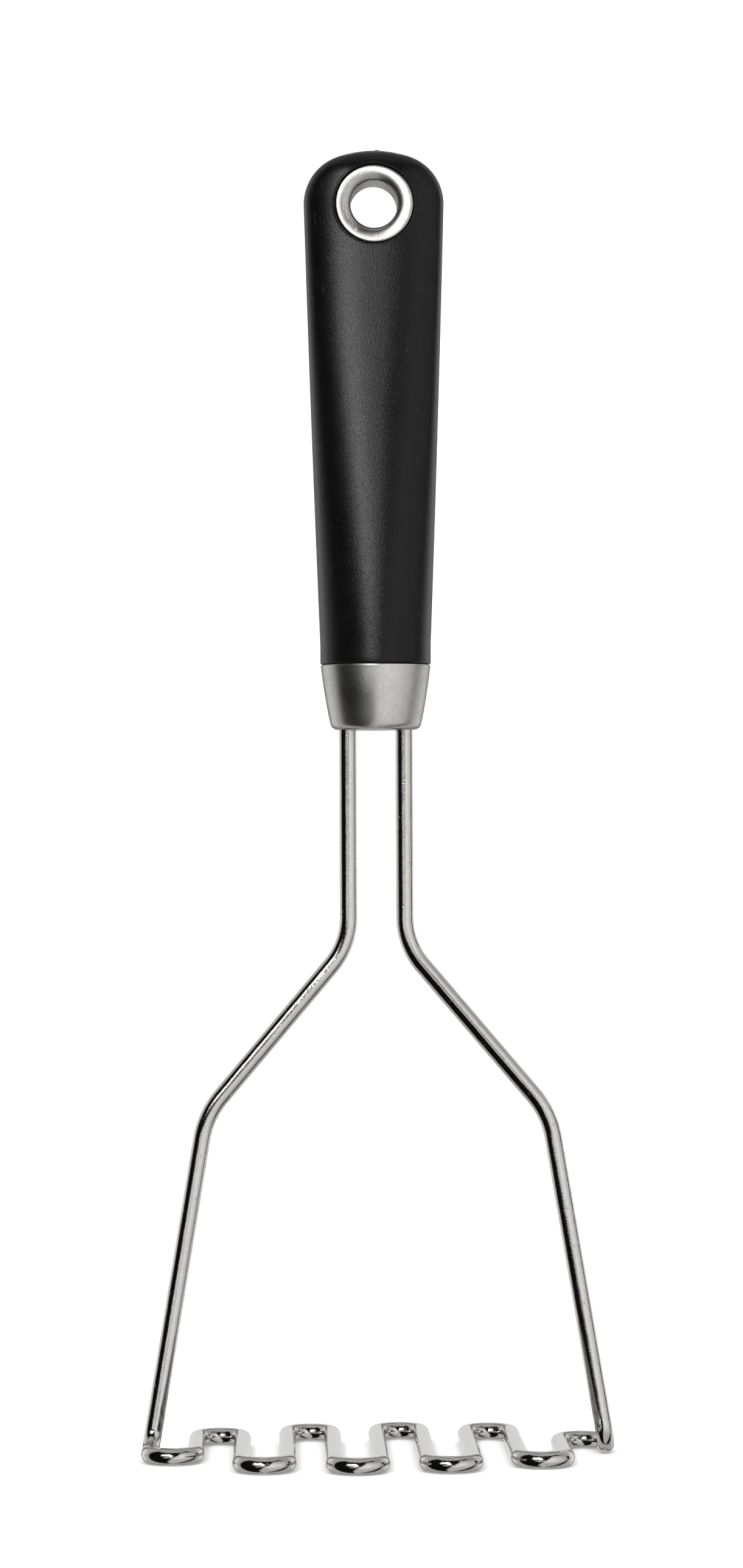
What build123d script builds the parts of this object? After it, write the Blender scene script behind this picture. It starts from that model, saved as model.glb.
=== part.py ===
from build123d import *

# Wire potato masher: one bent stainless wire with a serpentine foot, held in a rubber-skinned handle.
#
# Units are millimetres. The origin is on the floor under the middle of the foot, +Z points up along the
# handle, and X runs across the spread arms. The broad face with the front eyelet looks along -Y.

import os
from math import cos, pi, sin, sqrt

# Wire: one length of round stainless rod
wire_diameter = 3.5
neck_spacing = 11.4  # between the two neck rods' centre lines
neck_bend_z = 103.4  # where the neck rods turn outward
shoulder_spacing = 69.5
shoulder_z = 69.1  # where the slanted runs turn down
neck_bend_radius = 15.0
shoulder_bend_radius = 18.0
foot_bend_radius = 4.4  # arm into foot, just over one wire diameter

# Serpentine foot: ten semicircular loops, alternately at the front and the back
foot_pitch = 9.22
front_reach = (11.4, 25.4, 27.4, 25.8, 20.1)  # loop centre lines in front of the arms, left to right
back_reach = front_reach[::-1]  # the foot looks the same turned half round

# Wire ends inside the handle, flattened so that they can't pull out or turn
anchor_start_z = 204.0
anchor_taper = 4.0
anchor_top_z = 220.0
anchor_width = 5.2
anchor_thickness = 2.36

# Ferrule: drawn cup with a slightly barrelled wall
ferrule_bottom_z = 146.85
ferrule_top_z = 159.91
ferrule_bottom_radius = 8.98
ferrule_middle_radius = 10.23
ferrule_top_radius = 11.13
ferrule_wall = 0.6
ferrule_floor_flare = 0.12  # how far the wall has widened at the top of its floor
ferrule_corner_radius = 1.5
rod_hole_clearance = 0.1

# Handle: round at the ferrule, flatter and wider towards the hang hole
handle_bottom_z = 160.05
handle_top_z = 264.0
lip_top_z = 164.0  # a short straight lip stands next to the ferrule
face_start_z = 246.0  # above this the two broad faces are parallel
lip_half_width = 11.2
grip_half_width_top = 14.2
grip_bulge = 0.13
lip_half_thickness = 11.2
face_half_thickness = 6.9
face_squareness = 2.8  # superellipse power of the section at the hang hole; 2 is an ellipse
dome_corner_radius = 10.0
dome_top_radius = 24.6
dome_edge_radius = 5.0
skin_thickness = 2.2

# Moulding gate on top of the grip
gate_x = 0.7
gate_diameter = 1.3
gate_height = 0.4

# Hang hole: two pressed eyelets, one inside the other
hang_hole_z = 252.75
window_radius = 8.2  # hole in the rubber skin round each eyelet
eyelet_rim_radius = 7.95
eyelet_crest_radius = 7.3
eyelet_half_depth = 6.5
eyelet_sheet = 0.45
throat_y = 4.9  # where each flange's trumpet throat runs into its tube
barrel_bore_radius = 4.75
barrel_wall = 0.4
barrel_end_y = 4.35  # just inside the back eyelet's throat
collar_wall = 0.5
collar_end_y = -2.6
eyelet_clearance = 0.1

wire_radius = wire_diameter / 2
neck_x = neck_spacing / 2
shoulder_x = shoulder_spacing / 2
leg_x = [foot_pitch * (index - 5) for index in range(11)]
ferrule_middle_z = (ferrule_top_z + ferrule_bottom_z) / 2
ferrule_floor_z = ferrule_bottom_z + ferrule_wall
cavity_floor_radius = ferrule_bottom_radius - ferrule_wall + ferrule_floor_flare
cavity_middle_radius = ferrule_middle_radius - ferrule_wall
cavity_top_radius = ferrule_top_radius - ferrule_wall
cavity_corner_radius = ferrule_corner_radius - ferrule_wall
boss_half_depth = face_half_thickness - skin_thickness
collar_bore_radius = barrel_bore_radius + barrel_wall
hang_hole_axis = Axis((0, 0, hang_hole_z), (0, 1, 0))

# The dome's outline: a crown arc that runs into two corner arcs
corner_centre_x = grip_half_width_top - dome_corner_radius
crown_centre_z = handle_top_z - dome_top_radius
dome_rise = sqrt((dome_top_radius - dome_corner_radius) ** 2 - corner_centre_x**2)
dome_base_z = crown_centre_z + dome_rise


def rise_share(z):
    """How far up the tapering part of the handle a height is, from 0 to 1."""
    return min(max((z - lip_top_z) / (face_start_z - lip_top_z), 0), 1)


def side_half_width(z):
    """Half-width of the grip below its dome: a lip, then a nearly straight, slightly bulged taper."""
    if z <= lip_top_z:
        return lip_half_width
    share = (z - lip_top_z) / (dome_base_z - lip_top_z)
    taper = lip_half_width + (grip_half_width_top - lip_half_width) * share
    return taper + grip_bulge * 4 * share * (1 - share)


def handle_half_width(z, inset):
    """Half-width of the handle's front outline at height z, moved inward by inset."""
    corner = dome_corner_radius - inset
    crown = dome_top_radius - inset
    corner_top = dome_base_z + dome_rise * corner / (dome_top_radius - dome_corner_radius)
    if z <= dome_base_z:
        return side_half_width(z) - inset
    if z <= corner_top:
        return corner_centre_x + sqrt(corner**2 - (z - dome_base_z) ** 2)
    return sqrt(crown**2 - (z - crown_centre_z) ** 2)


def handle_half_thickness(z, inset):
    """Half-thickness at height z: round at the lip, parallel faces at the top, then a rounded edge."""
    blend = (1 - cos(pi * rise_share(z))) / 2
    thickness = lip_half_thickness + (face_half_thickness - lip_half_thickness) * blend - inset
    edge = dome_edge_radius - inset
    depth = handle_top_z - inset - z
    if depth < edge:
        thickness -= edge - sqrt(edge**2 - (edge - depth) ** 2)
    return thickness


def handle_section(z, inset):
    """A closed superellipse through points at equal parameter steps."""
    power = 2 / (2 + (face_squareness - 2) * rise_share(z))
    half_width = handle_half_width(z, inset)
    half_thickness = handle_half_thickness(z, inset)
    points = []
    for step in range(32):
        angle = 2 * pi * step / 32
        across = half_width * abs(cos(angle)) ** power
        deep = half_thickness * abs(sin(angle)) ** power
        points.append((across if cos(angle) > 0 else -across, deep if sin(angle) > 0 else -deep))
    return points


def section_levels(bottom, inset):
    """Heights of the lofted sections, closer together where the dome turns over."""
    straight = [bottom, lip_top_z, 180, 197, 214, 230, face_start_z, dome_base_z]
    height = handle_top_z - inset - dome_base_z
    return straight + [dome_base_z + height * share for share in (0.3, 0.55, 0.74, 0.87, 0.955, 0.99)]


os.makedirs("parts", exist_ok=True)

# One continuous wire: shank, neck, shoulder and arm on each side, and the serpentine between the arms
with BuildPart() as masher_wire:
    with BuildLine() as wire_path:
        for side in (-1, 1):
            first_loop_start = front_reach[0] - foot_pitch / 2
            FilletPolyline(
                (side * neck_x, 0, anchor_start_z),
                (side * neck_x, 0, neck_bend_z),
                (side * shoulder_x, 0, shoulder_z),
                (side * leg_x[-1], 0, wire_radius),
                (side * leg_x[-1], side * first_loop_start, wire_radius),
                radius=[neck_bend_radius, shoulder_bend_radius, foot_bend_radius],
            )
        for loop in range(5):
            front_y = foot_pitch / 2 - front_reach[loop]
            back_y = back_reach[loop] - foot_pitch / 2
            left, middle, right = leg_x[2 * loop : 2 * loop + 3]
            ThreePointArc(
                (left, front_y, wire_radius),
                ((left + middle) / 2, -front_reach[loop], wire_radius),
                (middle, front_y, wire_radius),
            )
            Line((middle, front_y, wire_radius), (middle, back_y, wire_radius))
            ThreePointArc(
                (middle, back_y, wire_radius),
                ((middle + right) / 2, back_reach[loop], wire_radius),
                (right, back_y, wire_radius),
            )
            if loop < 4:
                next_front_y = foot_pitch / 2 - front_reach[loop + 1]
                Line((right, back_y, wire_radius), (right, next_front_y, wire_radius))
    with BuildSketch(Plane(origin=(-neck_x, 0, anchor_start_z), z_dir=(0, 0, -1))):
        Circle(wire_radius)
    sweep(path=wire_path.wire())
    for side in (-1, 1):
        with BuildSketch(Plane(origin=(side * neck_x, 0, anchor_start_z))):
            Circle(wire_radius)
        with BuildSketch(Plane(origin=(side * neck_x, 0, anchor_start_z + anchor_taper))):
            Ellipse(anchor_width / 2, anchor_thickness / 2)
        loft()
        with BuildSketch(Plane(origin=(side * neck_x, 0, anchor_start_z + anchor_taper))):
            Ellipse(anchor_width / 2, anchor_thickness / 2)
        extrude(amount=anchor_top_z - anchor_start_z - anchor_taper)
masher_wire.part.label = "masher_wire"
export_step(masher_wire.part, "parts/masher_wire.step")

# Ferrule: a revolved wall and floor, with a round hole for each neck rod
with BuildPart() as ferrule:
    with BuildSketch(Plane.XZ):
        with BuildLine():
            outer_wall = ThreePointArc(
                (ferrule_top_radius, ferrule_top_z),
                (ferrule_middle_radius, ferrule_middle_z),
                (ferrule_bottom_radius, ferrule_bottom_z),
            )
            Line(outer_wall @ 1, (0, ferrule_bottom_z))
            Line((0, ferrule_bottom_z), (0, ferrule_floor_z))
            Line((0, ferrule_floor_z), (cavity_floor_radius, ferrule_floor_z))
            inner_wall = ThreePointArc(
                (cavity_floor_radius, ferrule_floor_z),
                (cavity_middle_radius, ferrule_middle_z),
                (cavity_top_radius, ferrule_top_z),
            )
            Line(inner_wall @ 1, outer_wall @ 0)
        make_face()
    revolve(axis=Axis.Z)
    corner_edges = ferrule.edges().filter_by(GeomType.CIRCLE).group_by(Axis.Z)
    fillet(corner_edges[0].sort_by(SortBy.RADIUS)[-1], ferrule_corner_radius)
    corner_edges = ferrule.edges().filter_by(GeomType.CIRCLE).filter_by_position(
        Axis.Z, ferrule_floor_z - 0.01, ferrule_floor_z + 0.01
    )
    fillet(corner_edges.sort_by(SortBy.RADIUS)[-1], cavity_corner_radius)
    with Locations((-neck_x, 0, ferrule_bottom_z), (neck_x, 0, ferrule_bottom_z)):
        Cylinder(wire_radius + rod_hole_clearance, 4 * ferrule_wall, mode=Mode.SUBTRACT)
ferrule.part.label = "ferrule"
export_step(ferrule.part, "parts/ferrule.step")

# Rigid core: lofted body, spigot that fills the ferrule, boss round the hang hole, channels for the wire
with BuildPart() as handle_core:
    for level in section_levels(handle_bottom_z, skin_thickness):
        with BuildSketch(Plane.XY.offset(level)):
            with BuildLine():
                Spline(handle_section(level, skin_thickness), periodic=True)
            make_face()
    loft()
    with BuildSketch(Plane.XZ):
        with BuildLine():
            spigot_wall = ThreePointArc(
                (cavity_floor_radius, ferrule_floor_z),
                (cavity_middle_radius, ferrule_middle_z),
                (cavity_top_radius, ferrule_top_z),
            )
            Polyline(
                spigot_wall @ 1,
                (cavity_top_radius, handle_bottom_z),
                (0, handle_bottom_z),
                (0, ferrule_floor_z),
                spigot_wall @ 0,
            )
        make_face()
    revolve(axis=Axis.Z)
    spigot_edges = handle_core.edges().filter_by(GeomType.CIRCLE).group_by(Axis.Z)[0]
    fillet(spigot_edges.sort_by(SortBy.RADIUS)[-1], cavity_corner_radius)
    with BuildSketch(Plane.XZ):
        with Locations((0, hang_hole_z)):
            Circle(window_radius)
    extrude(amount=boss_half_depth, both=True)
    with BuildSketch(Plane.XZ):
        with Locations((0, hang_hole_z)):
            Circle(collar_bore_radius + collar_wall + eyelet_clearance)
    extrude(amount=2 * boss_half_depth, both=True, mode=Mode.SUBTRACT)
    add(masher_wire.part, mode=Mode.SUBTRACT)
handle_core.part.label = "handle_core"
export_step(handle_core.part, "parts/handle_core.step")

# Rubber skin: the handle's outer shape less the core, with a round window at each eyelet
with BuildPart() as grip:
    for level in section_levels(handle_bottom_z, 0):
        with BuildSketch(Plane.XY.offset(level)):
            with BuildLine():
                Spline(handle_section(level, 0), periodic=True)
            make_face()
    loft()
    with BuildSketch(Plane.XY.offset(handle_top_z - gate_height)):
        with Locations((gate_x, 0)):
            Circle(gate_diameter / 2)
    extrude(amount=2 * gate_height)
    for level in section_levels(handle_bottom_z, skin_thickness):
        with BuildSketch(Plane.XY.offset(level)):
            with BuildLine():
                Spline(handle_section(level, skin_thickness), periodic=True)
            make_face()
    loft(mode=Mode.SUBTRACT)
    with BuildSketch(Plane.XZ):
        with Locations((0, hang_hole_z)):
            Circle(window_radius)
    extrude(amount=2 * lip_half_thickness, both=True, mode=Mode.SUBTRACT)
grip.part.label = "grip"
export_step(grip.part, "parts/grip.step")


def flange(side, tube_radius, tube_wall):
    """The pressed flange of one eyelet, drawn as radius against Y: skirt, rolled rim and trumpet throat."""
    roll = eyelet_rim_radius - eyelet_crest_radius
    under_roll = roll - eyelet_sheet
    rim_y = side * (eyelet_half_depth - roll)
    Line((eyelet_rim_radius, side * boss_half_depth), (eyelet_rim_radius, rim_y))
    ThreePointArc(
        (eyelet_rim_radius, rim_y),
        (eyelet_crest_radius + roll * sqrt(0.5), rim_y + side * roll * sqrt(0.5)),
        (eyelet_crest_radius, side * eyelet_half_depth),
    )
    Spline(
        (eyelet_crest_radius, side * eyelet_half_depth),
        (tube_radius, side * throat_y),
        tangents=[(-1, 0), (0, -side)],
    )
    Spline(
        (tube_radius + tube_wall, side * throat_y),
        (eyelet_crest_radius, side * (eyelet_half_depth - eyelet_sheet)),
        tangents=[(0, side), (1, 0)],
    )
    ThreePointArc(
        (eyelet_crest_radius, side * (eyelet_half_depth - eyelet_sheet)),
        (eyelet_crest_radius + under_roll * sqrt(0.5), rim_y + side * under_roll * sqrt(0.5)),
        (eyelet_rim_radius - eyelet_sheet, rim_y),
    )
    Polyline(
        (eyelet_rim_radius - eyelet_sheet, rim_y),
        (eyelet_rim_radius - eyelet_sheet, side * boss_half_depth),
        (eyelet_rim_radius, side * boss_half_depth),
    )


# Front eyelet: its barrel lines the hang hole and ends just inside the back eyelet's throat
with BuildPart() as eyelet_front:
    with BuildSketch(Plane.XY.offset(hang_hole_z)):
        with BuildLine():
            flange(-1, barrel_bore_radius, barrel_wall)
            Polyline(
                (barrel_bore_radius, -throat_y),
                (barrel_bore_radius, barrel_end_y),
                (collar_bore_radius, barrel_end_y),
                (collar_bore_radius, -throat_y),
            )
        make_face()
    revolve(axis=hang_hole_axis)
eyelet_front.part.label = "eyelet_front"
export_step(eyelet_front.part, "parts/eyelet_front.step")

# Back eyelet: its collar is the outer of the two tubes in the hang hole
with BuildPart() as eyelet_back:
    with BuildSketch(Plane.XY.offset(hang_hole_z)):
        with BuildLine():
            flange(1, collar_bore_radius, collar_wall)
            Polyline(
                (collar_bore_radius, throat_y),
                (collar_bore_radius, collar_end_y),
                (collar_bore_radius + collar_wall, collar_end_y),
                (collar_bore_radius + collar_wall, throat_y),
            )
        make_face()
    revolve(axis=hang_hole_axis)
eyelet_back.part.label = "eyelet_back"
export_step(eyelet_back.part, "parts/eyelet_back.step")
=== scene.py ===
import math

import bmesh
import bpy
import numpy as np
from mathutils import Matrix, Vector
from mathutils.geometry import delaunay_2d_cdt


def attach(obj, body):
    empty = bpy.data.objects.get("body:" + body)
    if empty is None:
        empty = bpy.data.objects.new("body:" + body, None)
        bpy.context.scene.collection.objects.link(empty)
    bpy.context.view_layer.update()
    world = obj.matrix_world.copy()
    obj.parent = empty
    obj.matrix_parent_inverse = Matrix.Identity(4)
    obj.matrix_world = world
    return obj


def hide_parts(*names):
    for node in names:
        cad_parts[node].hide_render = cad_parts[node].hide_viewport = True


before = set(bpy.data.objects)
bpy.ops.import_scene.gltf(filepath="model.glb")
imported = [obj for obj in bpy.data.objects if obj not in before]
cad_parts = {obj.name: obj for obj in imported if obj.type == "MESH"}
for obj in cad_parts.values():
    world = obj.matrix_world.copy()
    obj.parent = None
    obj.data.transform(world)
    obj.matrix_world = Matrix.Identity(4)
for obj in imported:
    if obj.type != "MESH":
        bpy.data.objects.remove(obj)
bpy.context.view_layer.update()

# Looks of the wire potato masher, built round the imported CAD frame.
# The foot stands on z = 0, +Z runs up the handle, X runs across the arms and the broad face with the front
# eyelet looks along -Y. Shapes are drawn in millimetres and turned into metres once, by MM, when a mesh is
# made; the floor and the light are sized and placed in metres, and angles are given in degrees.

MM = 0.001
BODY = "root"


# ---------------------------------------------------------------- driving sizes
# All are millimetres, apart from the count of loops and the powers called squareness and fullness.

WIRE_RADIUS = 1.75
NECK_X, NECK_BEND_Z = 5.7, 103.4
SHOULDER_X, SHOULDER_Z = 34.75, 69.1
NECK_BEND_RADIUS, SHOULDER_BEND_RADIUS, FOOT_BEND_RADIUS = 15.0, 18.0, 4.4
FOOT_PITCH, FOOT_LOOPS = 9.22, 10
FOOT_HALF_WIDTH = FOOT_LOOPS // 2 * FOOT_PITCH
FRONT_REACH = (11.4, 25.4, 27.4, 25.8, 20.1)
BACK_REACH = FRONT_REACH[::-1]
ANCHOR_START_Z, ANCHOR_TAPER, ANCHOR_TOP_Z = 204.0, 4.0, 220.0
ANCHOR_HALF_WIDTH, ANCHOR_HALF_THICKNESS = 2.6, 1.18

FERRULE_BOTTOM_Z, FERRULE_TOP_Z = 146.85, 159.91
FERRULE_RADII = (8.98, 10.23, 11.13)  # at the floor, halfway and at the rim
FERRULE_WALL, FERRULE_CORNER, FERRULE_RIM_EDGE = 0.6, 1.5, 0.15
ROD_HOLE_RADIUS = 1.85

GRIP_BOTTOM_Z, GRIP_TOP_Z, GRIP_BOTTOM_EDGE = 160.05, 264.0, 0.4
LIP_TOP_Z, FACE_START_Z = 164.0, 246.0
LIP_RADIUS, GRIP_HALF_WIDTH, GRIP_BULGE = 11.2, 14.2, 0.13
FACE_HALF_THICKNESS, FACE_SQUARENESS = 6.9, 2.8
CORNER_RADIUS, CROWN_RADIUS, EDGE_RADIUS = 10.0, 24.6, 5.0
SKIN = 1.5  # thinner than the CAD skin, so that it clears the core
GATE_X, GATE_RADIUS, GATE_HEIGHT = 0.7, 0.65, 0.4
GATE_EDGE, GATE_ROOT = 0.2, 0.6  # rounded top edge, and how far it sinks into the dome

HOLE_Z = 252.75
WINDOW_RADIUS, WINDOW_LIP = 8.08, 0.05
WINDOW_BAND = 0.55  # width of the band between the window and the patch of skin that is fitted to it
RIM_RADIUS, CREST_RADIUS, EYELET_HALF_DEPTH = 7.95, 7.3, 6.5
RIM_FULLNESS, THROAT_FULLNESS = 2.6, 2.5
BORE_RADIUS, BARREL_WALL, COLLAR_WALL, SHEET = 4.75, 0.38, 0.5, 0.45
COLLAR_BORE = BORE_RADIUS + 0.4
THROAT_Y, BARREL_END_Y, COLLAR_END_Y, SKIRT_Y = 4.9, 4.35, 2.6, 4.7
TUBE_EDGE = 0.06

CORNER_CENTRE_X = GRIP_HALF_WIDTH - CORNER_RADIUS
CROWN_CENTRE_Z = GRIP_TOP_Z - CROWN_RADIUS
DOME_RISE = math.sqrt((CROWN_RADIUS - CORNER_RADIUS) ** 2 - CORNER_CENTRE_X**2)
DOME_BASE_Z = CROWN_CENTRE_Z + DOME_RISE


# ---------------------------------------------------------------- mesh densities

WIRE_SIDES, BEND_STEPS, LOOP_STEPS = 40, 16, 32
WIRE_STEP, COINCIDENT = 2.5, 0.01  # longest and shortest millimetres between two rings of the wire
WIRE_UV_LENGTH = 100.0  # millimetres of wire for each whole step of its UV map
FERRULE_SEGMENTS, FERRULE_LEVELS, FERRULE_BEND_STEPS, FERRULE_RIM_STEPS = 144, 26, 10, 5
ROD_HOLE_STEPS, EYELET_SEGMENTS, GATE_SEGMENTS = 48, 128, 24
RIM_STEPS, THROAT_STEPS, TUBE_STEPS, UNDERSIDE_STEPS = 14, 26, 6, 12
GRIP_QUARTER, PATCH_HALF = 36, 22  # columns in a quarter of the grip, and in half of a window's patch
EDGE_STEPS, BODY_STEPS, DOME_STEPS, PATCH_STEPS = 6, 96, 32, 7
SECTION_SAMPLES = 400
SHARP_DEGREES = 40


# ---------------------------------------------------------------- mesh helpers


def mesh_object(name, points, faces):
    """A smooth-shaded mesh object from points in millimetres, with outward normals and sharp real edges."""
    mesh = bpy.data.meshes.new(name)
    mesh.from_pydata([(x * MM, y * MM, z * MM) for x, y, z in points], [], faces)
    work = bmesh.new()
    work.from_mesh(mesh)
    loose = [vertex for vertex in work.verts if not vertex.link_faces]
    bmesh.ops.delete(work, geom=loose, context="VERTS")
    bmesh.ops.recalc_face_normals(work, faces=work.faces)
    work.to_mesh(mesh)
    work.free()
    mesh.shade_smooth()
    mesh.set_sharp_from_angle(angle=math.radians(SHARP_DEGREES))
    piece = bpy.data.objects.new(name, mesh)
    bpy.context.scene.collection.objects.link(piece)
    return piece


def settle(piece, material, node):
    """Gives a piece its finish and its body, and hides the CAD node that it stands for."""
    piece.data.materials.clear()
    piece.data.materials.append(material)
    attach(piece, BODY)
    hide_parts(node)


def rounded_corner(before, corner, after, radius, steps):
    """Points along the arc that rounds a corner between two runs."""
    towards_before = (before - corner).normalized()
    towards_after = (after - corner).normalized()
    half_angle = towards_before.angle(towards_after) / 2
    start = corner + towards_before * radius / math.tan(half_angle)
    end = corner + towards_after * radius / math.tan(half_angle)
    centre = corner + (towards_before + towards_after).normalized() * radius / math.sin(half_angle)
    first, last = start - centre, end - centre
    turn = first.angle(last)
    points = []
    for step in range(steps + 1):
        share = step / steps
        mix = first * math.sin((1 - share) * turn) + last * math.sin(share * turn)
        points.append(centre + mix / math.sin(turn))
    return points


def quarter_round(start, end, leaves_sideways, steps, fullness=2.0):
    """A quarter superellipse in a plane; it leaves start along the first or second axis."""
    points = []
    for step in range(steps + 1):
        turn = math.pi / 2 * step / steps
        rising = math.sin(turn) ** (2 / fullness)
        falling = max(math.cos(turn), 0.0) ** (2 / fullness)
        across = rising if leaves_sideways else 1 - falling
        along = 1 - falling if leaves_sideways else rising
        points.append((start[0] + (end[0] - start[0]) * across, start[1] + (end[1] - start[1]) * along))
    return points


def lathe(profile, segments, place, closed=True):
    """Turns a profile of (radius, height) points round an axis; place puts each turned point in space."""
    points, faces = [], []
    count = len(profile)
    for segment in range(segments):
        turn = 2 * math.pi * segment / segments
        for radius, height in profile:
            points.append(place(radius * math.cos(turn), radius * math.sin(turn), height))
        here, there = segment * count, (segment + 1) % segments * count
        for index in range(count if closed else count - 1):
            after = (index + 1) % count
            faces.append((here + index, there + index, there + after, here + after))
    return points, faces


def upright(x, y, height):
    """Places a turned point on an upright axis."""
    return (x, y, height)


# ---------------------------------------------------------------- node recipes


class Recipe:
    """A material's or world's node tree, built one node at a time."""

    def __init__(self, tree):
        self.tree = tree
        self.tree.nodes.clear()

    def node(self, kind, inputs=None, **settings):
        node = self.tree.nodes.new("ShaderNode" + kind)
        for setting, value in settings.items():
            setattr(node, setting, value)
        for socket, value in (inputs or {}).items():
            if isinstance(value, bpy.types.NodeSocket):
                self.tree.links.new(value, node.inputs[socket])
            else:
                node.inputs[socket].default_value = value
        return node

    def math(self, operation, *values):
        return self.node("Math", dict(enumerate(values)), operation=operation).outputs[0]

    def scaled(self, vector, scale):
        return self.node("Mapping", {"Vector": vector, "Scale": scale}).outputs[0]

    def noise(self, vector, scale, detail=2.0, roughness=0.5):
        inputs = {"Vector": vector, "Scale": scale, "Detail": detail, "Roughness": roughness}
        return self.node("TexNoise", inputs).outputs[0]

    def specks(self, vector, scale):
        inputs = {"Vector": vector, "Scale": scale}
        return self.node("TexVoronoi", inputs, feature="F1").outputs["Distance"]

    def span(self, value, low, high, to_low, to_high):
        inputs = {"Value": value, "From Min": low, "From Max": high, "To Min": to_low, "To Max": to_high}
        return self.node("MapRange", inputs).outputs[0]

    def blend(self, share, first, second):
        mix = self.node("Mix", {"Factor": share}, data_type="RGBA")
        for socket, value in (("A", first), ("B", second)):
            target = [entry for entry in mix.inputs if entry.name == socket and entry.type == "RGBA"][0]
            if isinstance(value, bpy.types.NodeSocket):
                self.tree.links.new(value, target)
            else:
                target.default_value = value
        return [entry for entry in mix.outputs if entry.type == "RGBA"][0]

    def bump(self, height, depth, normal=None):
        inputs = {"Height": height, "Distance": depth, "Strength": 1.0}
        if normal is not None:
            inputs["Normal"] = normal
        return self.node("Bump", inputs).outputs[0]

    def surface(self, shader):
        output = self.node("OutputMaterial")
        self.tree.links.new(shader.outputs[0], output.inputs["Surface"])


def new_material(name):
    """An empty node material and its recipe."""
    material = bpy.data.materials.new(name)
    material.use_nodes = True
    return material, Recipe(material.node_tree)


def drawn_wire_steel():
    """Bright drawn stainless wire: long faint drawing lines, small nicks and a slightly uneven polish."""
    material, recipe = new_material("drawn_wire_steel")
    uv = recipe.node("UVMap", uv_map="wire").outputs[0]
    split = recipe.node("SeparateXYZ", {0: uv})
    turn = recipe.math("MULTIPLY", split.outputs[0], 2 * math.pi)
    across = recipe.math("MULTIPLY", recipe.math("COSINE", turn), WIRE_RADIUS)
    deep = recipe.math("MULTIPLY", recipe.math("SINE", turn), WIRE_RADIUS)
    along = recipe.math("MULTIPLY", split.outputs[1], WIRE_UV_LENGTH)
    skin = recipe.node("CombineXYZ", {0: across, 1: deep, 2: along}).outputs[0]

    lines = recipe.noise(recipe.scaled(skin, (1, 1, 0.02)), 9.0, 3.0, 0.6)
    waves = recipe.noise(recipe.scaled(skin, (1, 1, 0.35)), 0.7, 1.0)
    handling = recipe.noise(recipe.scaled(skin, (1, 1, 0.5)), 1.6, 4.0, 0.65)
    pits = recipe.noise(recipe.scaled(skin, (1, 1, 0.4)), 6.5, 2.0, 0.6)
    nicks = recipe.specks(recipe.scaled(skin, (1, 1, 0.45)), 0.75)
    nick_mask = recipe.span(nicks, 0.05, 0.11, 1.0, 0.0)

    stain = recipe.span(handling, 0.35, 0.75, 0.0, 1.0)
    bright = recipe.blend(stain, (0.64, 0.632, 0.615, 1), (0.57, 0.558, 0.535, 1))
    colour = recipe.blend(nick_mask, bright, (0.36, 0.35, 0.335, 1))
    polish = recipe.span(handling, 0.3, 0.75, 0.05, 0.12)
    roughness = recipe.math("ADD", polish, recipe.math("MULTIPLY", nick_mask, 0.2))
    normal = recipe.bump(lines, 0.007 * MM)
    normal = recipe.bump(waves, 0.03 * MM, normal)
    normal = recipe.bump(pits, 0.013 * MM, normal)
    normal = recipe.bump(nick_mask, -0.02 * MM, normal)
    inputs = {"Base Color": colour, "Roughness": roughness, "Normal": normal, "Metallic": 1.0}
    recipe.surface(recipe.node("BsdfPrincipled", inputs))
    return material


def blasted_steel(name, dull, bright, ringed=False):
    """Satin stainless sheet with a fine blasted grain; ringed adds faint turning rings and scratches."""
    material, recipe = new_material(name)
    place = recipe.node("TexCoord").outputs["Object"]
    grain = recipe.noise(place, 5200.0, 2.0, 0.6)
    mottle = recipe.noise(place, 520.0, 3.0, 0.6)
    cloud = recipe.noise(place, 110.0, 2.0)
    glints = recipe.span(recipe.specks(place, 1300.0), 0.10, 0.2, 1.0, 0.0)

    tooth = recipe.noise(place, 6500.0, 1.0, 0.5)
    broad_tone = recipe.span(mottle, 0.3, 0.7, 0.15, 0.85)
    tone = recipe.math("ADD", broad_tone, recipe.span(tooth, 0.3, 0.7, -0.7, 0.7))
    base = recipe.blend(tone, dull, bright)
    colour = recipe.blend(glints, base, (0.68, 0.675, 0.66, 1))
    dulling = recipe.span(cloud, 0.35, 0.65, 0.27, 0.33)
    roughness = recipe.math("ADD", dulling, recipe.span(grain, 0.3, 0.7, -0.03, 0.03))
    normal = recipe.bump(grain, 0.009 * MM)
    normal = recipe.bump(mottle, 0.008 * MM, normal)
    if ringed:
        split = recipe.node("SeparateXYZ", {0: place})
        rise = recipe.math("SUBTRACT", split.outputs[2], HOLE_Z * MM)
        squares = [recipe.math("POWER", side, 2.0) for side in (split.outputs[0], rise)]
        radius = recipe.math("SQRT", recipe.math("ADD", *squares))
        ring_place = recipe.node("CombineXYZ", {0: radius, 1: split.outputs[1], 2: 0.0}).outputs[0]
        rings = recipe.noise(ring_place, 6000.0, 1.0)
        normal = recipe.bump(rings, 0.003 * MM, normal)
        scratches = recipe.noise(recipe.scaled(place, (3.0, 1.0, 0.12)), 2600.0, 1.0)
        marks = recipe.span(scratches, 0.66, 0.72, 0.0, 1.0)
        normal = recipe.bump(marks, -0.006 * MM, normal)
    inputs = {"Base Color": colour, "Roughness": roughness, "Normal": normal, "Metallic": 1.0}
    inputs["Specular Tint"] = (0.6, 0.6, 0.6, 1)
    recipe.surface(recipe.node("BsdfPrincipled", inputs))
    return material


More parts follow.
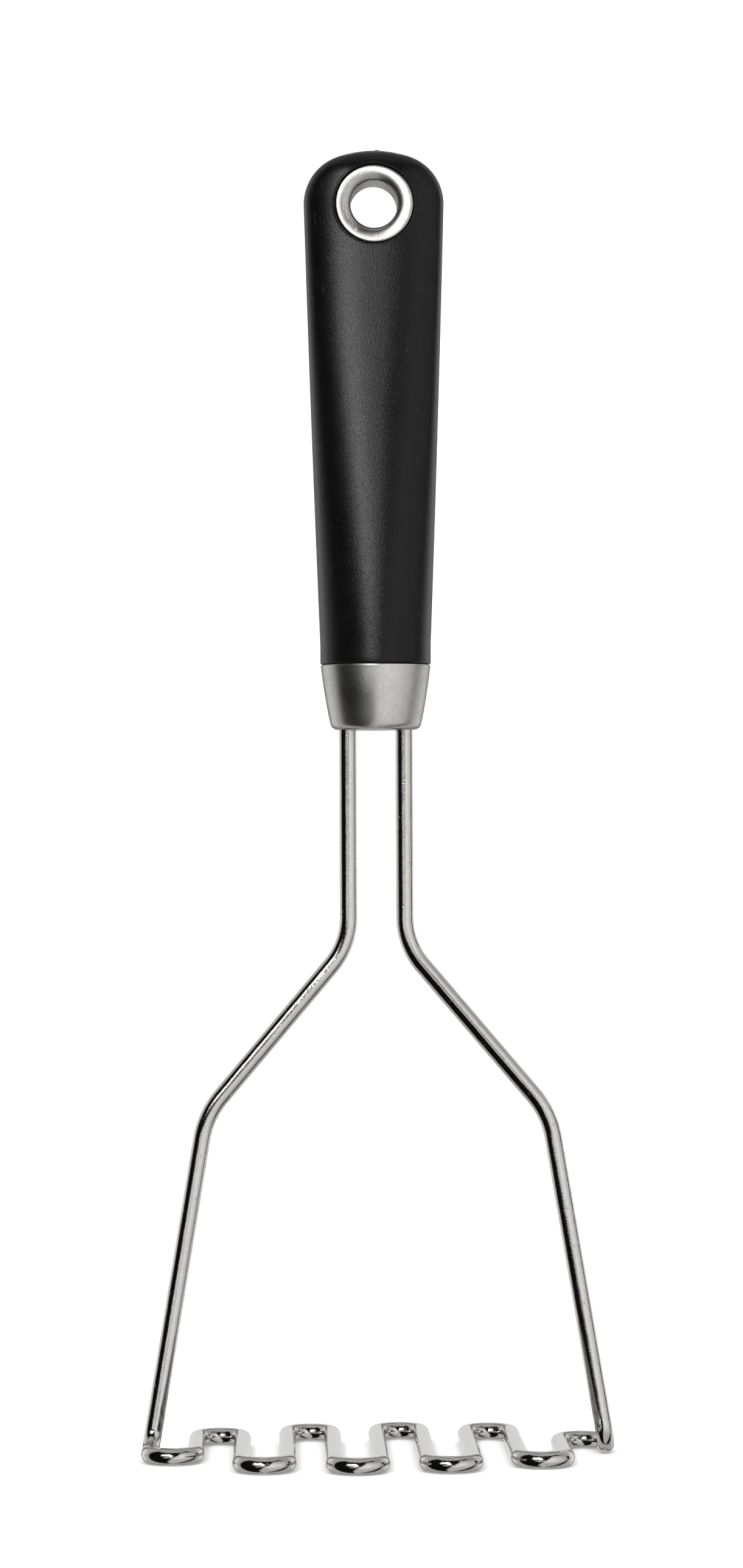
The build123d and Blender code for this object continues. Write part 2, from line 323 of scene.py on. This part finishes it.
def soft_grip_rubber():
    """Black moulded rubber: fine spark-eroded grain, faint cloudiness, dust specks and light scuffs."""
    material, recipe = new_material("soft_grip_rubber")
    place = recipe.node("TexCoord").outputs["Object"]
    grain = recipe.noise(place, 4800.0, 2.5, 0.6)
    pores = recipe.specks(place, 3600.0)
    cloud = recipe.noise(place, 190.0, 3.0, 0.6)
    dust = recipe.span(recipe.specks(place, 420.0), 0.012, 0.035, 1.0, 0.0)
    scuff_place = recipe.scaled(place, (1.0, 1.0, 0.22))
    scuffs = recipe.span(recipe.noise(scuff_place, 900.0, 2.0, 0.7), 0.66, 0.76, 0.0, 0.6)

    tone = recipe.span(cloud, 0.3, 0.7, 0.0, 1.0)
    base = recipe.blend(tone, (0.0022, 0.0022, 0.0022, 1), (0.0034, 0.0033, 0.0032, 1))
    worn = recipe.blend(scuffs, base, (0.016, 0.016, 0.0155, 1))
    colour = recipe.blend(dust, worn, (0.07, 0.068, 0.064, 1))
    dulling = recipe.span(cloud, 0.3, 0.7, 0.18, 0.22)
    roughness = recipe.math("ADD", dulling, recipe.span(grain, 0.3, 0.7, -0.06, 0.07))
    normal = recipe.bump(grain, 0.042 * MM)
    normal = recipe.bump(pores, 0.012 * MM, normal)
    inputs = {"Base Color": colour, "Roughness": roughness, "Normal": normal, "Specular IOR Level": 0.22}
    recipe.surface(recipe.node("BsdfPrincipled", inputs))
    return material


def moulded_core_plastic():
    """Black glass-filled plastic with a slightly fibrous, duller skin."""
    material, recipe = new_material("moulded_core_plastic")
    place = recipe.node("TexCoord").outputs["Object"]
    fibres = recipe.noise(recipe.scaled(place, (1.0, 1.0, 0.2)), 1800.0, 3.0, 0.65)
    cloud = recipe.noise(place, 150.0, 2.0)
    tone = recipe.span(fibres, 0.35, 0.7, 0.0, 1.0)
    colour = recipe.blend(tone, (0.012, 0.012, 0.013, 1), (0.024, 0.024, 0.024, 1))
    dulling = recipe.span(cloud, 0.35, 0.65, 0.5, 0.6)
    roughness = recipe.math("ADD", dulling, recipe.span(fibres, 0.3, 0.7, -0.04, 0.04))
    inputs = {"Base Color": colour, "Roughness": roughness, "Normal": recipe.bump(fibres, 0.015 * MM)}
    recipe.surface(recipe.node("BsdfPrincipled", inputs))
    return material


# ---------------------------------------------------------------- wire


def wire_route():
    """Centre line of the whole wire, from the left anchor's top over the foot to the right anchor's top."""
    arms = []
    first_loop_start = FRONT_REACH[0] - FOOT_PITCH / 2
    for side in (-1, 1):
        corners = [
            Vector((side * NECK_X, 0, ANCHOR_TOP_Z)),
            Vector((side * NECK_X, 0, NECK_BEND_Z)),
            Vector((side * SHOULDER_X, 0, SHOULDER_Z)),
            Vector((side * FOOT_HALF_WIDTH, 0, WIRE_RADIUS)),
            Vector((side * FOOT_HALF_WIDTH, side * first_loop_start, WIRE_RADIUS)),
        ]
        arm = [corners[0]]
        for index, radius in enumerate((NECK_BEND_RADIUS, SHOULDER_BEND_RADIUS, FOOT_BEND_RADIUS), start=1):
            before, corner, after = corners[index - 1 : index + 2]
            arm += rounded_corner(before, corner, after, radius, BEND_STEPS)
        arms.append(arm + [corners[-1]])

    foot = []
    loop_radius = FOOT_PITCH / 2
    for loop in range(FOOT_LOOPS):
        at_front = loop % 2 == 0
        facing = -1 if at_front else 1
        reach = (FRONT_REACH if at_front else BACK_REACH)[loop // 2]
        centre_x = FOOT_PITCH * (loop - (FOOT_LOOPS - 1) / 2)
        centre_y = facing * (reach - loop_radius)
        for step in range(LOOP_STEPS + 1):
            turn = math.pi * step / LOOP_STEPS
            x = centre_x - loop_radius * math.cos(turn)
            y = centre_y + facing * loop_radius * math.sin(turn)
            foot.append(Vector((x, y, WIRE_RADIUS)))
    return arms[0] + foot + arms[1][::-1]


def evenly_spaced(route, longest):
    """The route with its long straight runs divided, and points that coincide dropped."""
    points = [route[0]]
    for point in route[1:]:
        gap = (point - points[-1]).length
        if gap < COINCIDENT:
            continue
        pieces = math.ceil(gap / longest)
        start = points[-1].copy()
        points += [start.lerp(point, piece / pieces) for piece in range(1, pieces + 1)]
    return points


def build_wire():
    """Round wire swept along its route; both ends are flattened to anchors inside the handle."""
    sides = WIRE_SIDES
    centres = evenly_spaced(wire_route(), WIRE_STEP)
    count = len(centres)
    tangents = []
    for index in range(count):
        tangents.append((centres[min(index + 1, count - 1)] - centres[max(index - 1, 0)]).normalized())
    normal = Vector((1, 0, 0))
    points, lengths, walked = [], [], 0.0
    for index, (centre, tangent) in enumerate(zip(centres, tangents)):
        if index:
            normal = tangents[index - 1].rotation_difference(tangent) @ normal
            walked += (centre - centres[index - 1]).length
        normal = (normal - tangent * normal.dot(tangent)).normalized()
        binormal = tangent.cross(normal)
        lengths.append(walked)
        flat = min(max((centre.z - ANCHOR_START_Z) / ANCHOR_TAPER, 0), 1)
        wide = 1 + (ANCHOR_HALF_WIDTH / WIRE_RADIUS - 1) * flat
        thin = 1 + (ANCHOR_HALF_THICKNESS / WIRE_RADIUS - 1) * flat
        for side in range(sides):
            turn = 2 * math.pi * side / sides
            offset = (normal * math.cos(turn) + binormal * math.sin(turn)) * WIRE_RADIUS
            points.append(centre + Vector((offset.x * wide, offset.y * thin, offset.z)))
    faces = []
    for ring in range(count - 1):
        for side in range(sides):
            after = (side + 1) % sides
            here, there = ring * sides, (ring + 1) * sides
            faces.append((here + side, here + after, there + after, there + side))
    faces.append(tuple(range(sides))[::-1])
    faces.append(tuple((count - 1) * sides + side for side in range(sides)))

    wire = mesh_object("bent_wire", points, faces)
    layer = wire.data.uv_layers.new(name="wire")
    for polygon in wire.data.polygons:
        corners = [wire.data.loops[index].vertex_index for index in polygon.loop_indices]
        around = [corner % sides for corner in corners]
        wraps = max(around) == sides - 1 and min(around) == 0 and len(corners) == 4
        for loop_index, corner, position in zip(polygon.loop_indices, corners, around):
            share = 1.0 if wraps and position == 0 else position / sides
            layer.data[loop_index].uv = (share, lengths[corner // sides] / WIRE_UV_LENGTH)
    settle(wire, drawn_wire_steel(), "masher_wire")


# ---------------------------------------------------------------- ferrule


def barrel_curve(inset):
    """The ferrule wall from its floor to its rim, as an arc through three radii moved inward by inset."""
    heights = (FERRULE_BOTTOM_Z, (FERRULE_BOTTOM_Z + FERRULE_TOP_Z) / 2, FERRULE_TOP_Z)
    curve = np.polyfit(heights, [radius - inset for radius in FERRULE_RADII], 2)
    levels = np.linspace(FERRULE_BOTTOM_Z, FERRULE_TOP_Z, FERRULE_LEVELS + 1)
    return [(float(np.polyval(curve, level)), float(level)) for level in levels]


def build_ferrule():
    """A drawn steel cup with a rounded floor corner and a softened rim; the rods pass through its floor."""
    segments, edge = FERRULE_SEGMENTS, FERRULE_RIM_EDGE
    outer = barrel_curve(0)
    inner = barrel_curve(FERRULE_WALL)
    floor_top = FERRULE_BOTTOM_Z + FERRULE_WALL
    corner = Vector((outer[0][0], outer[0][1], 0))
    middle = Vector((FERRULE_RADII[1], (FERRULE_BOTTOM_Z + FERRULE_TOP_Z) / 2, 0))
    foot_of_axis = Vector((0, FERRULE_BOTTOM_Z, 0))
    bend = rounded_corner(foot_of_axis, corner, middle, FERRULE_CORNER, FERRULE_BEND_STEPS)
    profile = [(point.x, point.y) for point in bend]
    bend_clearance, floor_clearance, rim_clearance = 0.3, 0.2, 0.1
    wall_start, wall_end = profile[-1][1] + bend_clearance, FERRULE_TOP_Z - edge
    profile += [point for point in outer if wall_start < point[1] < wall_end]
    rim_outer, rim_inner = FERRULE_RADII[2], FERRULE_RADII[2] - FERRULE_WALL
    outer_edge = ((rim_outer, FERRULE_TOP_Z - edge), (rim_outer - edge, FERRULE_TOP_Z))
    inner_edge = ((rim_inner + edge, FERRULE_TOP_Z), (rim_inner, FERRULE_TOP_Z - edge))
    profile += quarter_round(*outer_edge, False, FERRULE_RIM_STEPS)
    profile += quarter_round(*inner_edge, True, FERRULE_RIM_STEPS)
    wall_start, wall_end = floor_top + floor_clearance, FERRULE_TOP_Z - edge - rim_clearance
    profile += [point for point in inner[::-1] if wall_start < point[1] < wall_end]
    profile.append((inner[1][0], floor_top))
    points, faces = lathe(profile, segments, upright, closed=False)

    count = len(profile)
    floors = []
    for level, position in ((FERRULE_BOTTOM_Z, 0), (floor_top, count - 1)):
        ring = [segment * count + position for segment in range(segments)]
        holes = []
        for side in (-1, 1):
            hole = []
            for step in range(ROD_HOLE_STEPS):
                turn = 2 * math.pi * step / ROD_HOLE_STEPS
                hole.append(len(points))
                x = side * NECK_X + ROD_HOLE_RADIUS * math.cos(turn)
                points.append((x, ROD_HOLE_RADIUS * math.sin(turn), level))
            holes.append(hole)
        loops = [ring, *holes]
        flat = [index for loop in loops for index in loop]
        edges, start = [], 0
        for loop in loops:
            edges += [(start + step, start + (step + 1) % len(loop)) for step in range(len(loop))]
            start += len(loop)
        plane = [Vector(points[index][:2]) for index in flat]
        triangles = delaunay_2d_cdt(plane, edges, [], 0, 1e-6)[2]
        for triangle in triangles:
            middle = sum((plane[index] for index in triangle), Vector((0, 0))) / 3
            if all((middle - Vector((side * NECK_X, 0))).length > ROD_HOLE_RADIUS for side in (-1, 1)):
                faces.append(tuple(flat[index] for index in triangle))
        floors.append(holes)
    for lower, upper in zip(*floors):
        for step in range(ROD_HOLE_STEPS):
            after = (step + 1) % ROD_HOLE_STEPS
            faces.append((lower[step], lower[after], upper[after], upper[step]))
    material = blasted_steel("blasted_ferrule_steel", (0.53, 0.52, 0.50, 1), (0.65, 0.642, 0.625, 1))
    settle(mesh_object("steel_ferrule", points, faces), material, "ferrule")


# ---------------------------------------------------------------- eyelets


def build_eyelet(name, node, facing, throat, wall, tube_end, material):
    """A pressed eyelet: skirt, rolled rim, trumpet throat and the tube that lines the hang hole."""
    rim_y = EYELET_HALF_DEPTH - (RIM_RADIUS - CREST_RADIUS)
    under_y = EYELET_HALF_DEPTH - SHEET
    crest, under_crest = (CREST_RADIUS, EYELET_HALF_DEPTH), (CREST_RADIUS, under_y)
    skirt_bore, tube_outside, under_throat_y = RIM_RADIUS - SHEET, throat + wall, THROAT_Y - SHEET
    tube_length, soft = THROAT_Y - tube_end, TUBE_EDGE
    profile = [(RIM_RADIUS, SKIRT_Y)]
    profile += quarter_round((RIM_RADIUS, rim_y), crest, False, RIM_STEPS, RIM_FULLNESS)
    profile += quarter_round(crest, (throat, THROAT_Y), True, THROAT_STEPS, THROAT_FULLNESS)[1:]
    profile += [(throat, THROAT_Y - tube_length * step / TUBE_STEPS) for step in range(1, TUBE_STEPS)]
    profile += [(throat, tube_end + soft), (throat + soft, tube_end), (tube_outside - soft, tube_end)]
    profile += [(tube_outside, tube_end + soft), (tube_outside, under_throat_y)]
    under_throat = (tube_outside, under_throat_y)
    profile += quarter_round(under_throat, under_crest, False, UNDERSIDE_STEPS, THROAT_FULLNESS)[1:]
    profile += quarter_round(under_crest, (skirt_bore, rim_y), True, UNDERSIDE_STEPS // 2)[1:]
    profile.append((skirt_bore, SKIRT_Y))

    def across_hole(x, z, depth):
        return (x, facing * depth, HOLE_Z + z)

    points, faces = lathe(profile, EYELET_SEGMENTS, across_hole)
    settle(mesh_object(name, points, faces), material, node)


def build_eyelets():
    """Front and back eyelets; the front one's barrel runs inside the back one's collar."""
    dull, bright = (0.40, 0.393, 0.38, 1), (0.48, 0.473, 0.46, 1)
    material = blasted_steel("turned_eyelet_steel", dull, bright, ringed=True)
    build_eyelet("front_eyelet", "eyelet_front", -1, BORE_RADIUS, BARREL_WALL, -BARREL_END_Y, material)
    build_eyelet("back_eyelet", "eyelet_back", 1, COLLAR_BORE, COLLAR_WALL, -COLLAR_END_Y, material)


# ---------------------------------------------------------------- grip


def rise_share(z):
    """How far up the tapering part of the grip a height is, from 0 to 1."""
    return min(max((z - LIP_TOP_Z) / (FACE_START_Z - LIP_TOP_Z), 0), 1)


def section_power(z):
    """Superellipse power of the grip's section at a height."""
    return 2 + (FACE_SQUARENESS - 2) * rise_share(z)


def half_width(z, inset):
    """Half-width of the grip's front outline at a height, moved inward by inset."""
    corner, crown = CORNER_RADIUS - inset, CROWN_RADIUS - inset
    corner_top = DOME_BASE_Z + DOME_RISE * corner / (CROWN_RADIUS - CORNER_RADIUS)
    if z <= LIP_TOP_Z:
        return LIP_RADIUS - inset
    if z <= DOME_BASE_Z:
        share = (z - LIP_TOP_Z) / (DOME_BASE_Z - LIP_TOP_Z)
        taper = LIP_RADIUS + (GRIP_HALF_WIDTH - LIP_RADIUS) * share
        return taper + GRIP_BULGE * 4 * share * (1 - share) - inset
    if z <= corner_top:
        return CORNER_CENTRE_X + math.sqrt(corner**2 - (z - DOME_BASE_Z) ** 2)
    return math.sqrt(crown**2 - (z - CROWN_CENTRE_Z) ** 2)


def half_thickness(z, inset):
    """Half-thickness of the grip at a height, moved inward by inset."""
    blend = (1 - math.cos(math.pi * rise_share(z))) / 2
    thickness = LIP_RADIUS + (FACE_HALF_THICKNESS - LIP_RADIUS) * blend - inset
    edge, depth = EDGE_RADIUS - inset, GRIP_TOP_Z - inset - z
    if depth < edge:
        thickness -= edge - math.sqrt(edge**2 - (edge - depth) ** 2)
    return thickness


def bottom_round(z, inset):
    """How far the rounded bottom edge of the skin's outside draws in at a height."""
    height = z - GRIP_BOTTOM_Z
    if inset or height >= GRIP_BOTTOM_EDGE:
        return inset
    return GRIP_BOTTOM_EDGE - math.sqrt(GRIP_BOTTOM_EDGE**2 - (GRIP_BOTTOM_EDGE - height) ** 2)


def section_ring(z, inset):
    """Points round one section, evenly spaced along it, four quarters from +X through +Y."""
    drawn_in = bottom_round(z, inset)
    wide, deep, power = half_width(z, drawn_in), half_thickness(z, drawn_in), 2 / section_power(z)
    turn = np.linspace(0, math.pi / 2, SECTION_SAMPLES)
    across, along = wide * np.abs(np.cos(turn)) ** power, deep * np.abs(np.sin(turn)) ** power
    across[-1], along[0] = 0, 0
    walked = np.concatenate(([0], np.cumsum(np.hypot(np.diff(across), np.diff(along)))))
    stops = np.linspace(0, walked[-1], GRIP_QUARTER + 1)[:-1]
    mirrored = walked[-1] - stops
    x, y = np.interp(stops, walked, across), np.interp(stops, walked, along)
    back_x, back_y = np.interp(mirrored, walked, across), np.interp(mirrored, walked, along)
    first = list(zip(x, y))
    second = list(zip(-back_x, back_y))
    third = [(-px, -py) for px, py in first]
    fourth = [(-px, -py) for px, py in second]
    return [(float(px), float(py), z) for px, py in first + second + third + fourth]


def face_depth(x, z, inset):
    """Half-thickness of the skin at a point of its broad face."""
    power = section_power(z)
    share = min(abs(x) / half_width(z, inset), 1)
    return half_thickness(z, inset) * (1 - share**power) ** (1 / power)


def skin_levels(inset):
    """Heights of the grip's rings; the dome's crowd together towards its top, which a strip closes."""
    turns = [math.pi / 2 * step / EDGE_STEPS for step in range(EDGE_STEPS)]
    edge = [GRIP_BOTTOM_Z + GRIP_BOTTOM_EDGE * (1 - math.cos(turn)) for turn in turns]
    start = GRIP_BOTTOM_Z + GRIP_BOTTOM_EDGE
    body = [start + (DOME_BASE_Z - start) * step / BODY_STEPS for step in range(BODY_STEPS)]
    top = GRIP_TOP_Z - inset
    dome_height = top - DOME_BASE_Z
    dome = [top - dome_height * (1 - step / DOME_STEPS) ** 2 for step in range(DOME_STEPS - 1)]
    return edge + body + dome


def nearest_row(levels, z):
    """The index of the level that is nearest to a height."""
    return min(range(len(levels)), key=lambda row: abs(levels[row] - z))


def build_grip():
    """The rubber skin: a closed shell with a lipped window at each eyelet and a moulding gate on top."""
    around = 4 * GRIP_QUARTER
    levels = skin_levels(0)
    patch_margin_below, patch_margin_above = 2.6, 0.6
    low = nearest_row(levels, HOLE_Z - WINDOW_RADIUS - patch_margin_below)
    high = nearest_row(levels, GRIP_TOP_Z - patch_margin_above)
    patches = ((1, GRIP_QUARTER), (-1, 3 * GRIP_QUARTER))
    points, faces, window_rings = [], [], []
    bases = []
    for inset in (0, SKIN):
        base = len(points)
        bases.append(base)
        rows = skin_levels(inset)
        for z in rows:
            points += section_ring(z, inset)
        for row in range(len(rows) - 1):
            for column in range(around):
                inside = any(-PATCH_HALF <= column - middle < PATCH_HALF for _, middle in patches)
                if low <= row < high and inside:
                    continue
                here, there = base + row * around, base + (row + 1) * around
                after = (column + 1) % around
                faces.append((here + column, here + after, there + after, there + column))
        top = base + (len(rows) - 1) * around
        for column in range(around // 2):
            opposite = top + (around - column) % around
            strip = (top + column, top + column + 1, top + around - column - 1, opposite)
            faces.append(tuple(dict.fromkeys(strip)))

        for facing, middle in patches:
            left, right = middle - PATCH_HALF, middle + PATCH_HALF
            border = [(low, column) for column in range(left, right)]
            border += [(row, right) for row in range(low, high)]
            border += [(high, column) for column in range(right, left, -1)]
            border += [(row, left) for row in range(high, low, -1)]
            outer_ring = [base + row * around + column for row, column in border]
            spots = [points[index] for index in outer_ring]
            angles = [math.atan2(z - HOLE_Z, x) for x, _, z in spots]
            band_edge = WINDOW_RADIUS + WINDOW_BAND
            crowding = 0.85  # below 1, the patch's rings crowd together towards the window
            rings = [outer_ring]
            for step in range(1, PATCH_STEPS + 1):
                share = (step / PATCH_STEPS) ** crowding
                ring = []
                for (x, _, z), angle in zip(spots, angles):
                    px = x + (band_edge * math.cos(angle) - x) * share
                    pz = z + (HOLE_Z + band_edge * math.sin(angle) - z) * share
                    ring.append(len(points))
                    points.append((px, facing * face_depth(px, pz, inset), pz))
                rings.append(ring)
            # each ring's distance from the window and its lift as a share of the lip's height
            lip = ((0.26, 0.0), (0.2, 0.4), (0.14, 0.9), (0.09, 1.0), (0.04, 0.7), (0.0, -0.6))
            for gap, lift in lip:
                ring = []
                for angle in angles:
                    px = (WINDOW_RADIUS + gap) * math.cos(angle)
                    pz = HOLE_Z + (WINDOW_RADIUS + gap) * math.sin(angle)
                    raised = WINDOW_LIP * lift if inset == 0 else 0
                    ring.append(len(points))
                    points.append((px, facing * (face_depth(px, pz, inset) + raised), pz))
                rings.append(ring)
            for ring, following in zip(rings, rings[1:]):
                for index in range(len(ring)):
                    after = (index + 1) % len(ring)
                    faces.append((ring[index], ring[after], following[after], following[index]))
            window_rings.append(rings[-1])

    for front, back in ((0, 2), (1, 3)):
        outer_ring, inner_ring = window_rings[front], window_rings[back]
        for index in range(len(outer_ring)):
            after = (index + 1) % len(outer_ring)
            faces.append((outer_ring[index], outer_ring[after], inner_ring[after], inner_ring[index]))
    for column in range(around):
        after = (column + 1) % around
        faces.append((bases[0] + column, bases[0] + after, bases[1] + after, bases[1] + column))

    gate_top = GRIP_TOP_Z + GATE_HEIGHT
    shoulder = (GATE_RADIUS, gate_top - GATE_EDGE)
    gate = [(GATE_RADIUS, GRIP_TOP_Z - GATE_ROOT), shoulder]
    gate += quarter_round(shoulder, (GATE_RADIUS - GATE_EDGE, gate_top), False, 4)[1:]
    start, count = len(points), len(gate)
    gate_points, gate_faces = lathe(gate, GATE_SEGMENTS, lambda x, y, z: (x + GATE_X, y, z), closed=False)
    points += gate_points
    faces += [tuple(start + index for index in face) for face in gate_faces]
    for position in (0, count - 1):
        faces.append(tuple(start + segment * count + position for segment in range(GATE_SEGMENTS)))
    settle(mesh_object("rubber_grip", points, faces), soft_grip_rubber(), "grip")


# ---------------------------------------------------------------- studio

OBJECT_MIDDLE = Vector((0, 0, 0.13))
SIDE_LEVEL, FLAG_LEVEL, BACKGROUND_LEVEL = 0.55, 0.006, 1.35
CAMERA_ORBIT, CAMERA_PITCH, CAMERA_ROLL = -1.11, 0.715, -0.25
CAMERA_PLACE = Vector((-0.93, -925.6, 124.35))  # millimetres, before the orbit round the upright axis
CAMERA_LENS, SENSOR_WIDTH = 105.0, 36.0


def polar_disc(name, radius, rings, segments):
    """A flat disc with rings that widen outward."""
    points, faces = [(0.0, 0.0, 0.0)], []
    for ring in range(1, rings + 1):
        reach = radius * (ring / rings) ** 2
        for segment in range(segments):
            turn = 2 * math.pi * segment / segments
            points.append((reach * math.cos(turn), reach * math.sin(turn), 0.0))
    for segment in range(segments):
        after = (segment + 1) % segments
        faces.append((0, 1 + segment, 1 + after))
        for ring in range(rings - 1):
            here, there = 1 + ring * segments, 1 + (ring + 1) * segments
            faces.append((here + segment, there + segment, there + after, here + after))
    mesh = bpy.data.meshes.new(name)
    mesh.from_pydata(points, [], faces)
    mesh.shade_smooth()
    disc = bpy.data.objects.new(name, mesh)
    bpy.context.scene.collection.objects.link(disc)
    return disc


def floor_paper():
    """Pale seamless paper with a barely visible tooth."""
    material, recipe = new_material("pale_floor_paper")
    place = recipe.node("TexCoord").outputs["Object"]
    tooth = recipe.noise(place, 700.0, 3.0)
    colour = recipe.blend(tooth, (0.93, 0.93, 0.93, 1), (0.95, 0.95, 0.95, 1))
    inputs = {"Base Color": colour, "Roughness": 0.9, "Specular IOR Level": 0.1}
    recipe.surface(recipe.node("BsdfPrincipled", inputs))
    return material


class Surround(Recipe):
    """What reflections see all round; azimuth runs from -Y and grows towards +X."""

    def __init__(self, tree):
        super().__init__(tree)
        split = self.node("SeparateXYZ", {0: self.node("TexCoord").outputs["Generated"]})
        frontward = self.math("MULTIPLY", split.outputs[1], -1.0)
        azimuth = self.math("ARCTAN2", split.outputs[0], frontward)
        self.azimuth = self.math("MULTIPLY", azimuth, math.degrees(1))
        self.elevation = self.math("MULTIPLY", self.math("ARCSINE", split.outputs[2]), math.degrees(1))

    def window(self, value, low, high, soft):
        """A share that is 1 between low and high; each end fades over soft to either side of it."""
        shares = []
        for edge, outside, inside in ((low, -soft, soft), (high, soft, -soft)):
            inputs = {"Value": value, "From Min": edge + outside, "From Max": edge + inside}
            fade = self.node("MapRange", inputs, interpolation_type="SMOOTHSTEP")
            shares.append(fade.outputs[0])
        return self.math("MULTIPLY", *shares)

    def panel(self, behind, across, up, level, soft, lean=0.0, both_sides=False):
        """Paints a soft-edged panel over what is behind it.

        across and up are (low, high) in degrees of azimuth and elevation, and a panel that runs past the
        last azimuth has no fade there; lean moves it sideways by that many degrees for each degree up.
        """
        azimuth = self.math("ABSOLUTE", self.azimuth) if both_sides else self.azimuth
        leaning = self.math("SUBTRACT", azimuth, self.math("MULTIPLY", self.elevation, lean))
        columns = self.window(leaning, *across, soft)
        share = self.math("MULTIPLY", columns, self.window(self.elevation, *up, soft))
        mix = self.node("Mix", {"Factor": share}, data_type="FLOAT")
        for socket, value in ((2, behind), (3, level)):
            if isinstance(value, bpy.types.NodeSocket):
                self.tree.links.new(value, mix.inputs[socket])
            else:
                mix.inputs[socket].default_value = value
        return mix.outputs[0]


def softbox(name, azimuth, elevation, distance, lean, width, height, radiance):
    """A rectangular softbox aimed at the middle of the object, not seen by the camera itself."""
    light = bpy.data.lights.new(name, "AREA")
    light.shape = "RECTANGLE"
    light.size, light.size_y = width, height
    light.energy = radiance * math.pi * width * height
    lamp = bpy.data.objects.new(name, light)
    turn, tilt = math.radians(azimuth), math.radians(elevation)
    away = Vector((math.sin(turn) * math.cos(tilt), -math.cos(turn) * math.cos(tilt), math.sin(tilt)))
    lamp.location = OBJECT_MIDDLE + away * distance
    roll = Matrix.Rotation(math.radians(lean), 3, "Z")
    lamp.rotation_euler = (away.to_track_quat("Z", "Y").to_matrix() @ roll).to_euler()
    lamp.visible_camera = False
    bpy.context.scene.collection.objects.link(lamp)


def build_surround():
    """An even pale surround; only reflections see panels, from a backdrop and a reflector to black flags."""
    world = bpy.data.worlds.new("pale_surround")
    world.use_nodes = True
    world.cycles.sampling_method = "NONE"
    surround = Surround(world.node_tree)
    # the white backdrop, its middle behind the object and a dim band on each side of that
    level = surround.panel(SIDE_LEVEL, (118, 400), (-26, 26), 1.0, soft=12, both_sides=True)
    level = surround.panel(level, (150, 400), (-26, 40), 0.8, soft=8, both_sides=True)
    level = surround.panel(level, (152, 168), (-70, 70), 0.25, soft=4, both_sides=True)
    # the dark room round the camera
    level = surround.panel(level, (-97, 97), (-95, 62), FLAG_LEVEL, soft=4)
    # the reflector on the right, which fades outward and away from its middle height
    fall = surround.span(surround.azimuth, 35, 90, 1.08, 0.62)
    off_middle = surround.math("ABSOLUTE", surround.math("SUBTRACT", surround.elevation, 5.0))
    tilt = surround.span(off_middle, 12, 42, 1.0, 0.6)
    reflector = surround.math("MULTIPLY", fall, tilt)
    level = surround.panel(level, (10, 96), (-95, 50), reflector, soft=3, lean=0.6)
    # a narrow black flag beside the reflector, a low strip of table and a bright patch at the upper left
    level = surround.panel(level, (96, 111), (-5, 24), 0.02, soft=2)
    level = surround.panel(level, (-31, 14), (-7.5, 1.2), 0.9, soft=1.5)
    level = surround.panel(level, (-42, -10), (15, 36), 2.2, soft=3)
    path = surround.node("LightPath").outputs["Is Glossy Ray"]
    seen = surround.node("Mix", {0: path, 2: BACKGROUND_LEVEL, 3: level}, data_type="FLOAT").outputs[0]
    background = surround.node("Background", {"Color": (1, 1, 1, 1), "Strength": seen})
    output = surround.node("OutputWorld")
    surround.tree.links.new(background.outputs[0], output.inputs["Surface"])
    bpy.context.scene.world = world


def build_studio():
    """Pale floor and surround, with a tall leaning key softbox to the left of the camera."""
    floor = polar_disc("floor", radius=6.0, rings=24, segments=96)
    floor.data.materials.append(floor_paper())
    floor.visible_glossy = False
    build_surround()
    aim = {"azimuth": -12.0, "elevation": 17.0, "distance": 1.02, "lean": 30}
    softbox("key_softbox", width=0.1, height=0.46, radiance=31.0, **aim)


def place_camera():
    """The camera stands in front of the broad face at mid height, about a degree round from its middle."""
    orbit, pitch, roll = (math.radians(angle) for angle in (CAMERA_ORBIT, CAMERA_PITCH, CAMERA_ROLL))
    ahead = Vector((0, math.cos(pitch), math.sin(pitch)))
    right = Vector((1, 0, 0))
    up = right.cross(ahead)
    rolled_right = right * math.cos(roll) + up * math.sin(roll)
    rolled_up = up * math.cos(roll) - right * math.sin(roll)
    turn = Matrix.Rotation(orbit, 3, "Z")
    axes = Matrix((turn @ rolled_right, turn @ rolled_up, turn @ -ahead)).transposed()
    data = bpy.data.cameras.new("camera")
    data.lens = CAMERA_LENS
    data.sensor_width = SENSOR_WIDTH
    data.clip_start, data.clip_end = 0.01, 50.0
    camera = bpy.data.objects.new("camera", data)
    camera.matrix_world = Matrix.Translation(turn @ CAMERA_PLACE * MM) @ axes.to_4x4()
    bpy.context.scene.collection.objects.link(camera)
    bpy.context.scene.camera = camera


build_wire()
build_ferrule()
build_eyelets()
build_grip()

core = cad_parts["handle_core"]
core.data.materials.clear()
core.data.materials.append(moulded_core_plastic())

build_studio()
place_camera()
bpy.context.scene.view_settings.view_transform = "Standard"
